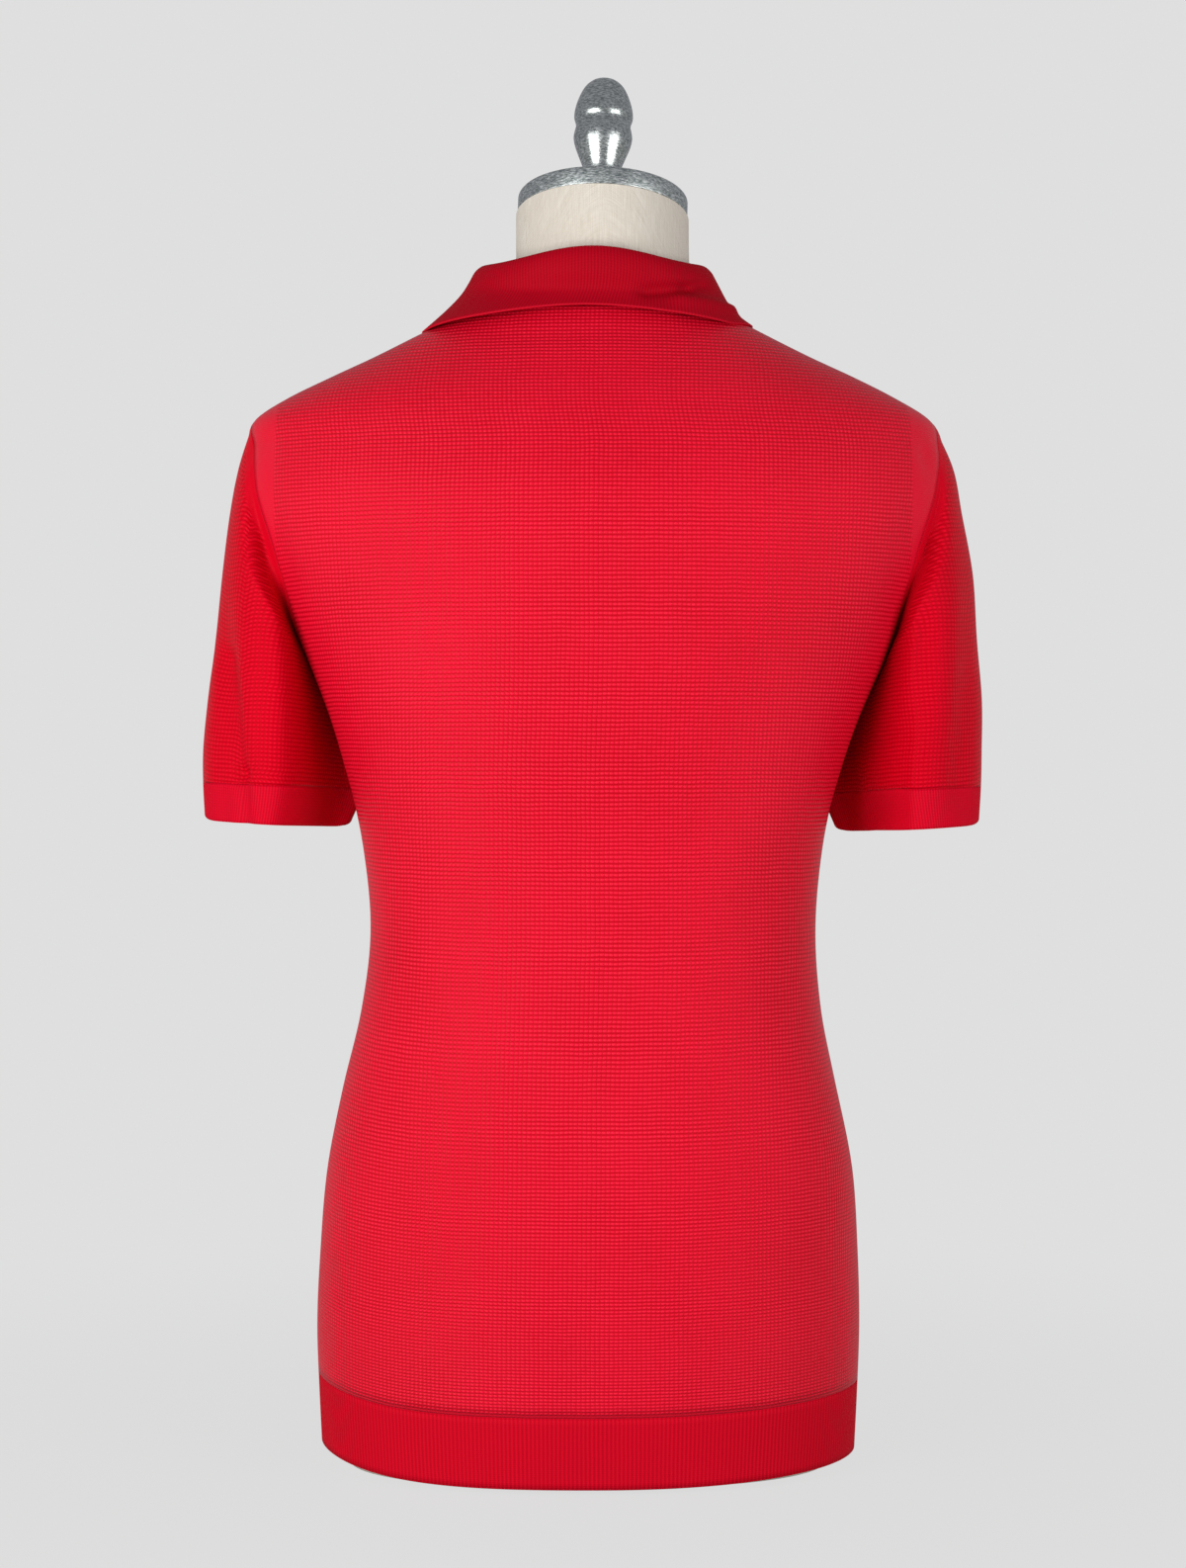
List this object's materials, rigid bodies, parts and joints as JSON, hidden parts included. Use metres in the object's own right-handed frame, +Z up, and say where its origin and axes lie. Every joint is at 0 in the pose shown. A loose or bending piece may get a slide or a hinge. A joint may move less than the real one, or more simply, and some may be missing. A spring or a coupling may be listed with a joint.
{
  "type": "polo shirt on a dress form",
  "caption": "Short-sleeved knitted polo shirt with turned-down rib collar, set-in sleeves and rib bands, worn by a limbless linen dress form with a metal neck cap and finial.",
  "frame": {"origin": "middle of the dress form's flat base, on which the part stands", "axes": "+Z up along the torso; +Y out of the shirt's back, so the front opening faces -Y; +X to the wearer's left"},
  "size_m": [0.4978, 0.2488, 0.8819],
  "materials": {
    "red_textured_knit": "matte knit with small raised stitches in rows",
    "red_rib_knit": "matte fine rib knit",
    "red_button": "glossy, dyed to match",
    "linen": "matte plain-woven linen, natural colour",
    "brushed_metal": "brushed across the rim",
    "polished_metal": "polished, with fine turning marks"
  },
  "bodies": {
    "root": {"back": "red_textured_knit", "front": "red_textured_knit", "sleeve_left": "red_textured_knit", "sleeve_right": "red_textured_knit", "hem_back": "red_rib_knit", "hem_front": "red_rib_knit", "cuff_left": "red_rib_knit", "cuff_right": "red_rib_knit", "collar": "red_rib_knit", "placket_over": "red_rib_knit", "placket_under": "red_rib_knit", "button_1": "red_button", "button_2": "red_button", "button_3": "red_button", "form_torso": "linen", "form_cap": "brushed_metal", "form_finial": "polished_metal"}
  },
  "joints": []
}
